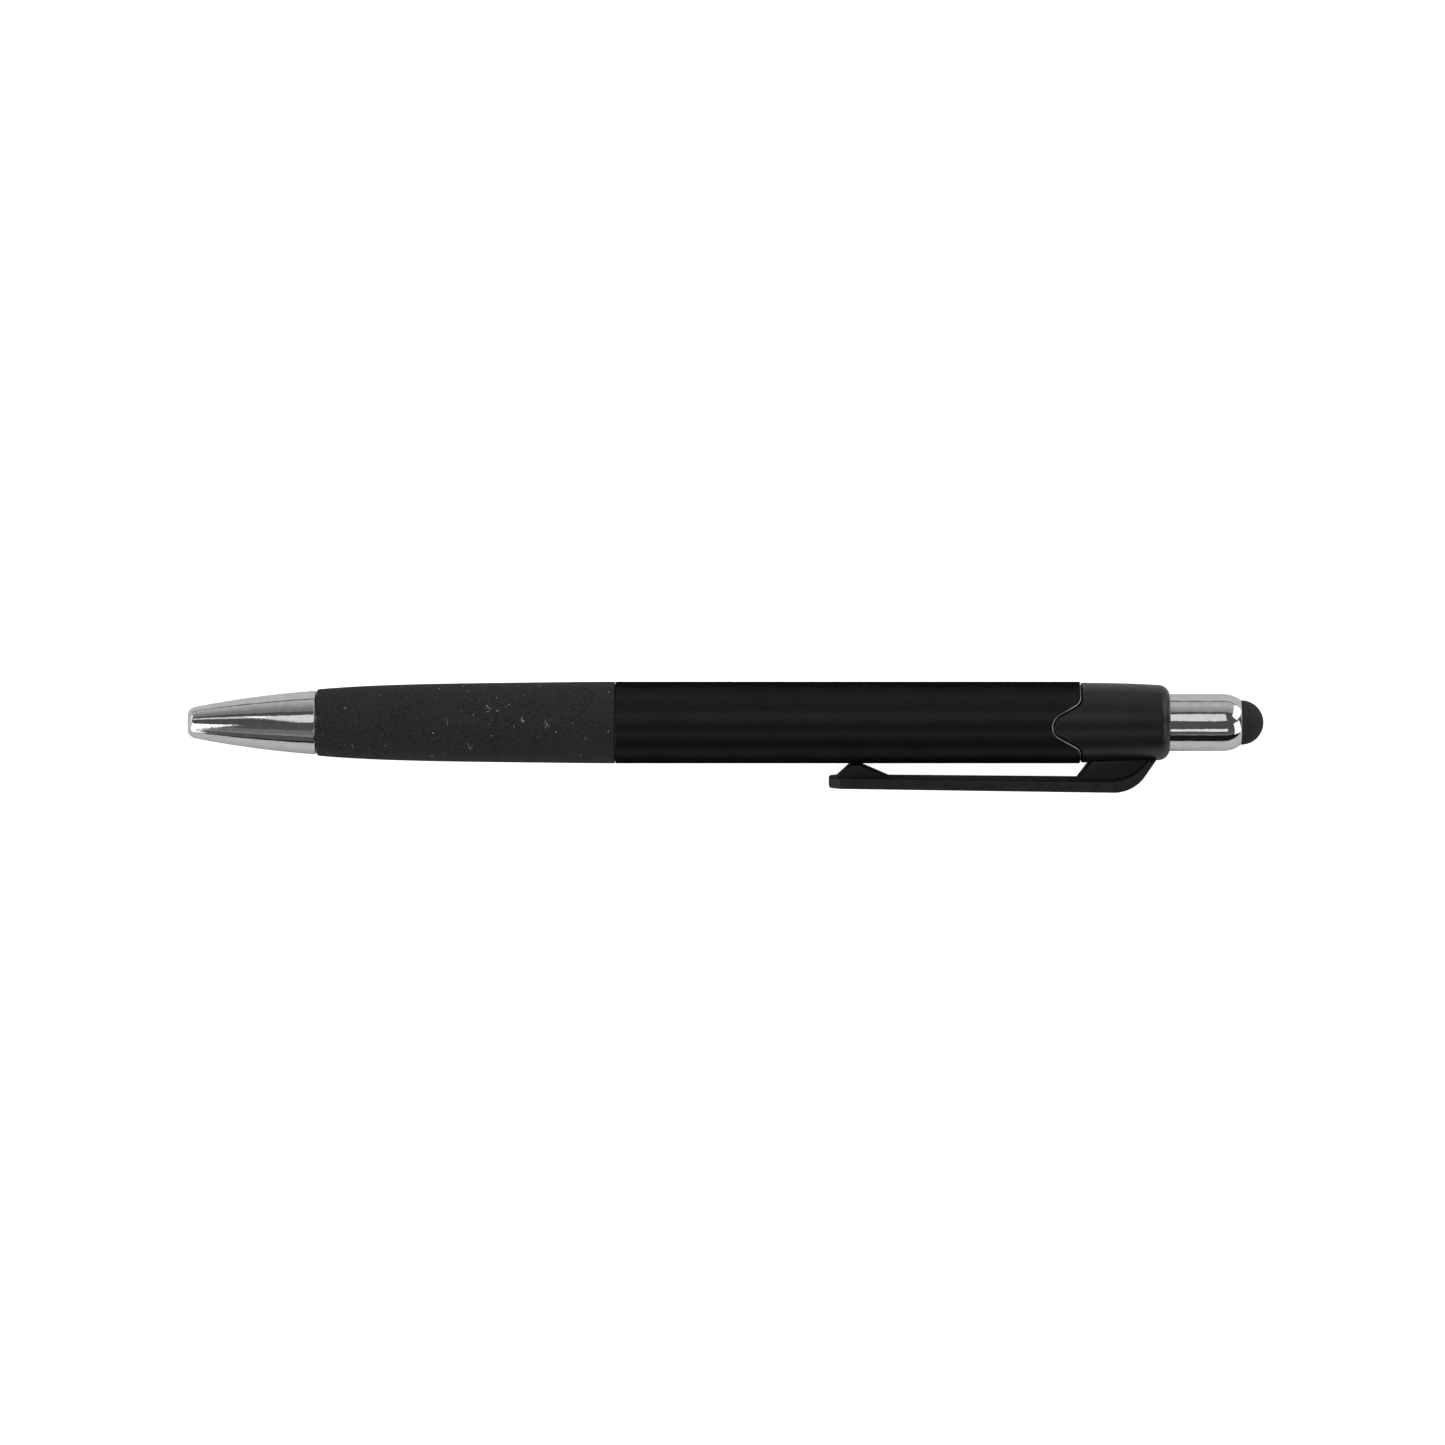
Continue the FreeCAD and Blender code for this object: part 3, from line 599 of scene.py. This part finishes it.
def clip_stations():
    """Outer point, inner point, half-width and inset along the blade, from its tip to its foot."""
    stations = [(CLIP_TIP, 0.36)]
    for angle in np.radians((0, 15, 30, 45, 60, 75, 90)):
        inset = CLIP_TIP_ROUND * (1 - math.sin(angle))
        stations.append((CLIP_TIP + CLIP_TIP_ROUND * (1 - math.cos(angle)), inset))
    stations += [(x, 0) for x in (85.3, 85.85, 85.96, 86.0, 86.04, 86.15)]
    stations += [(x, 0) for x in np.linspace(88, 120, 17)] + [(121.5, 0)]
    blade = []
    chamfer_length, chamfer_width = CLIP_TIP_CHAMFER
    chamfer_rear = CLIP_TIP + chamfer_length
    for x, inset in stations:
        y = CLIP_TIP_HEIGHT + (x - CLIP_TIP) * (CLIP_ROOT_HEIGHT - CLIP_TIP_HEIGHT) / (CLIP_ROOT - CLIP_TIP)
        widening = (CLIP_ROOT_HALF_WIDTH - CLIP_TIP_HALF_WIDTH) / (CLIP_ROOT - chamfer_rear)
        taper = CLIP_TIP_HALF_WIDTH + (x - chamfer_rear) * widening
        chamfer = CLIP_TIP_HALF_WIDTH - chamfer_width + (x - CLIP_TIP) * chamfer_width / chamfer_length
        blade.append(((x, y), (x, y - CLIP_THICKNESS), min(taper, chamfer), inset))
    inner = arc_through((121.6, 7.55), (124.7, 6.75), (126.5, 5.2), 15)
    middle, radius, whole = CLIP_BEND
    for t, (ix, iy) in zip(np.linspace(0, 1, 15), inner):
        bend = whole * t
        outer = (CLIP_ROOT + radius * math.sin(bend), middle + radius * math.cos(bend))
        blade.append((outer, (ix, iy), CLIP_ROOT_HALF_WIDTH - 0.45 * t, 0))
    blade.append(((127.75, 4.75), (126.72, 4.5), 2.5, 0))
    return blade


def pocket_clip():
    """The blade with its curved root, the web under the root, and the bead that touches the barrel."""
    bm = bmesh.new()
    sections = [clip_section(*station) for station in clip_stations()]
    # All blade rings are marked, so the blade is painted lighter than the unmarked web and bead: painted
    # light and painted shade.
    rows = add_rings(bm, sections, False, range(len(sections)))
    cap_ring(bm, rows[0])
    cap_ring(bm, rows[-1])
    bow = arc_through((126.3, 5.6), (124.4, 7.0), (121.6, 7.9), 12)
    block(bm, [(117.05, 7.9), (119.3, 4.9), (126.7, 4.7)] + bow, WEB_HALF_WIDTH, 0.12)
    block(bm, [(85.2, 7.5), (87.45, 5.45), (88.7, 5.45), (93.4, 7.5)], BEAD_HALF_WIDTH, 0.16)
    piece = finish_mesh("clip_blade", bm, CLIP_BLACK)
    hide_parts("pocket_clip")
    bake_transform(piece)


def button_shell():
    """The chrome button, with the flange that keeps it in the cap and the hole for the dome's stem."""
    flange = [(125.3, BUTTON_BORE_R), (125.3, BUTTON_FLANGE_R, 0.06), (126.4, BUTTON_FLANGE_R, 0.06)]
    side = [(126.4, BUTTON_R), (136.2, BUTTON_R)]
    bow = arc_through((136.7, BUTTON_R), (138.05, 3.515), (139.0, 2.97), 26)[:-1]
    end = [(139.0, 2.94, 0.04), (139.0, 1.62), (138.2, 1.62), (138.2, 2.4), (137.2, BUTTON_BORE_R)]
    bm = bmesh.new()
    lathe(bm, rounded(flange + side + bow + end))
    piece = finish_mesh("button_shell", bm, CHROME)
    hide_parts("plunger_shell")
    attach(piece, "plunger")


def stylus_dome():
    """The rubber dome, with the stem and flange that hold it in the button."""
    bearings = np.radians(np.linspace(0, 88.5, 46))
    ball = [(DOME_FRONT + DOME_R * math.sin(a), DOME_R * math.cos(a)) for a in bearings]
    outline = [(136.9, 0), (136.9, 2.35), (138.2, 2.35), (138.2, 1.6), (139.0, 1.6), (139.0, 2.9)] + ball
    bm = bmesh.new()
    lathe(bm, rounded(outline))
    piece = finish_mesh("stylus_tip", bm, DOME_RUBBER)
    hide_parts("stylus_dome")
    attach(piece, "plunger")


def return_spring():
    """A round-wire coil with closed ends, on the spring's body."""
    wire = SPRING_WIRE_R
    front, rear = SPRING_FRONT + wire, SPRING_REAR - wire
    closed, turns, steps = SPRING_CLOSED_TURNS, SPRING_TURNS, 40
    end = closed * 2 * wire
    section = angles(12)
    rings = []
    for t in np.arange(0, turns + 0.5 / steps, 1 / steps):
        if t < closed:
            x = front + 2 * wire * t
        elif t > turns - closed:
            x = rear - 2 * wire * (turns - t)
        else:
            x = front + end + (rear - front - 2 * end) * (t - closed) / (turns - 2 * closed)
        a = t * math.tau
        out = SPRING_MEAN_R + wire * np.cos(section)
        rings.append(np.stack([x + wire * np.sin(section), out * math.cos(a), out * math.sin(a)], axis=1))
    bm = bmesh.new()
    rows = add_rings(bm, rings, False)
    cap_ring(bm, rows[0])
    cap_ring(bm, rows[-1])
    piece = finish_mesh("spring_coil", bm, SPRING_WIRE)
    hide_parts("return_spring")
    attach(piece, "spring")
    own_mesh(piece)


def refill_point():
    """The turned metal point: its stem in the holder, its cone and the lip round the ball."""
    outline = [
        (15.0, 0), (15.0, 0.8), (11.0, 0.8), (11.0, 1.15, 0.05), (4.5, 1.15, 0.4), (3.2, 0.96, 0.1),
        (3.1, 0.9, 0.05), (1.55, 0.64, 0.1), (1.1, 0.52, 0.06), (1.1, 0.45), (1.6, 0.43), (1.6, 0),
    ]
    bm = bmesh.new()
    lathe(bm, rounded(outline), 96)
    piece = finish_mesh("point_cone", bm, POINT_METAL)
    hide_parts("refill_point")
    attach(piece, "refill")


def dress(material, *nodes):
    """Gives CAD nodes that stay as they are a material."""
    for name in nodes:
        mesh = frame["nodes"][name].data
        mesh.materials.clear()
        mesh.materials.append(material)


nose_cone()
grip_sleeve()
barrel()
rear_cap()
pocket_clip()
button_shell()
stylus_dome()
return_spring()
refill_point()
dress(ACETAL, "stylus_plug", "pusher_cam", "rotor_cam", "cam_guide")
dress(REFILL_CLEAR, "refill_tube")
dress(INK, "ink_column")
dress(GREASE, "grease_follower")
dress(BRASS, "point_holder")
dress(CARBIDE, "writing_ball")


# ---------------------------------------------------------------- floor, light and camera

LOOK_AT = PEN @ Vector((70.56, 0, 0))
ELEVATION = math.radians(81.4)
DISTANCE = 1.0          # m, from the camera to the pen
FIELD = 0.1908          # m, the width that the camera takes in at that distance
SENSOR = 36             # mm
TO_CAMERA = Vector((0, -math.cos(ELEVATION), math.sin(ELEVATION)))
IMAGE_UP = Vector((0, math.sin(ELEVATION), math.cos(ELEVATION)))


def floor():
    """A pale sheet just under the pen, which glows plain white for the camera's own rays alone."""
    bm = bmesh.new()
    bmesh.ops.create_grid(bm, x_segments=8, y_segments=8, size=4)
    mesh = bpy.data.meshes.new("floor")
    bm.to_mesh(mesh)
    bm.free()
    m = Nodes("pale_floor", Roughness=0.9, Specular_IOR_Level=0.1)
    mottle = m.between(m.noise(30, 2.0), 0.0, 1.0)
    m.set("Base Color", m.mix(mottle, (0.83, 0.83, 0.83), (0.85, 0.85, 0.85)))
    glow = m.node("Emission", Color=(1, 1, 1, 1), Strength=1.0)
    both = m.tree.nodes.new("ShaderNodeAddShader")
    choice = m.tree.nodes.new("ShaderNodeMixShader")
    path = m.tree.nodes.new("ShaderNodeLightPath")
    out = m.tree.nodes["Material Output"]
    m.tree.links.new(m.shader.outputs[0], both.inputs[0])
    m.tree.links.new(glow.outputs[0], both.inputs[1])
    m.tree.links.new(path.outputs["Is Camera Ray"], choice.inputs["Fac"])
    m.tree.links.new(m.shader.outputs[0], choice.inputs[1])
    m.tree.links.new(both.outputs[0], choice.inputs[2])
    m.tree.links.new(choice.outputs[0], out.inputs["Surface"])
    mesh.materials.append(m.material)
    piece = bpy.data.objects.new("floor", mesh)
    bpy.context.scene.collection.objects.link(piece)
    piece.location.z = -0.00002


def softbox(name, up, side, wide, high, radiance, roll=0, seen=True):
    """A flat light a metre off; up and side are its directions from the view axis, in degrees."""
    a, b = math.radians(up), math.radians(side)
    away = (TO_CAMERA * math.cos(a) + IMAGE_UP * math.sin(a)) * math.cos(b) + Vector((math.sin(b), 0, 0))
    away.normalize()
    along = Vector((1, 0, 0)) - away * away.x
    along.normalize()
    data = bpy.data.lights.new(name, "AREA")
    data.shape = "RECTANGLE"
    data.size = 2 * math.tan(math.radians(wide / 2))
    data.size_y = 2 * math.tan(math.radians(high / 2))
    data.energy = radiance * math.pi * data.size * data.size_y
    light = bpy.data.objects.new(name, data)
    bpy.context.scene.collection.objects.link(light)
    turn = Matrix((along, away.cross(along), away)).transposed().to_4x4()
    turn = turn @ Matrix.Rotation(math.radians(roll), 4, "Z")
    light.matrix_world = Matrix.Translation(LOOK_AT + away) @ turn
    light.visible_camera = False
    light.visible_glossy = seen


def studio():
    """Grey walls by height above the clip's side; the camera's own rays see plain white instead."""
    world = bpy.data.worlds.new("studio")
    bpy.context.scene.world = world
    world.use_nodes = True
    tree = world.node_tree
    tree.nodes.clear()
    place = tree.nodes.new("ShaderNodeTexCoord")
    split = tree.nodes.new("ShaderNodeSeparateXYZ")
    back = tree.nodes.new("ShaderNodeMath")
    back.operation = "MULTIPLY"
    back.inputs[1].default_value = -1
    height = tree.nodes.new("ShaderNodeMath")
    height.operation = "ARCTAN2"
    share = tree.nodes.new("ShaderNodeMath")
    share.operation = "DIVIDE"
    share.inputs[1].default_value = math.pi
    shades = tree.nodes.new("ShaderNodeValToRGB")
    stops = (
        (0.0, 0.012), (0.15, 0.012), (0.16, 0.2), (0.18, 0.2), (0.19, 0.1), (0.3, 0.09), (0.68, 0.09),
        (0.69, 0.21), (0.76, 0.26), (0.85, 0.42), (0.92, 0.53), (0.965, 0.55), (0.97, 0.15), (1.0, 0.15),
    )
    elements = shades.color_ramp.elements
    while len(elements) < len(stops):
        elements.new(0.5)
    for element, (position, shade) in zip(elements, stops):
        element.position = position
        element.color = (shade, shade, shade, 1)
    walls = tree.nodes.new("ShaderNodeBackground")
    plain = tree.nodes.new("ShaderNodeBackground")
    plain.inputs["Color"].default_value = (1, 1, 1, 1)
    path = tree.nodes.new("ShaderNodeLightPath")
    choice = tree.nodes.new("ShaderNodeMixShader")
    out = tree.nodes.new("ShaderNodeOutputWorld")
    link = tree.links.new
    link(place.outputs["Generated"], split.inputs[0])
    link(split.outputs["Y"], back.inputs[0])
    link(split.outputs["Z"], height.inputs[0])
    link(back.outputs[0], height.inputs[1])
    link(height.outputs[0], share.inputs[0])
    link(share.outputs[0], shades.inputs["Fac"])
    link(shades.outputs["Color"], walls.inputs["Color"])
    link(path.outputs["Is Camera Ray"], choice.inputs["Fac"])
    link(walls.outputs[0], choice.inputs[1])
    link(plain.outputs[0], choice.inputs[2])
    link(choice.outputs[0], out.inputs["Surface"])


def camera():
    data = bpy.data.cameras.new("camera")
    data.sensor_width = SENSOR
    data.lens = SENSOR * DISTANCE / FIELD
    made = bpy.data.objects.new("camera", data)
    bpy.context.scene.collection.objects.link(made)
    made.location = LOOK_AT + TO_CAMERA * DISTANCE
    made.rotation_euler = (math.pi / 2 - ELEVATION, 0, 0)
    bpy.context.scene.camera = made


floor()
studio()
softbox("main_softbox", 17, -4, 32, 27, 0.78, roll=14)
softbox("main_softbox_end", 25, -31, 22, 8, 0.7)
softbox("low_softbox", -32, 4, 28, 10, 0.88)
softbox("low_left_softbox", -52, -30, 40, 44, 0.09)
softbox("left_softbox", -44, -42, 30, 60, 1.5)
softbox("far_left_softbox", -14, -73, 30, 92, 0.7)
softbox("upper_right_softbox", 60, 52, 26, 52, 1.4)
softbox("lower_right_softbox", -33, 58, 26, 40, 1.4)
softbox("back_wall", 62, 18, 50, 34, 0.12)
softbox("fill", 45, 0, 70, 50, 0.9, seen=False)
camera()
bpy.context.scene.view_settings.view_transform = "Standard"
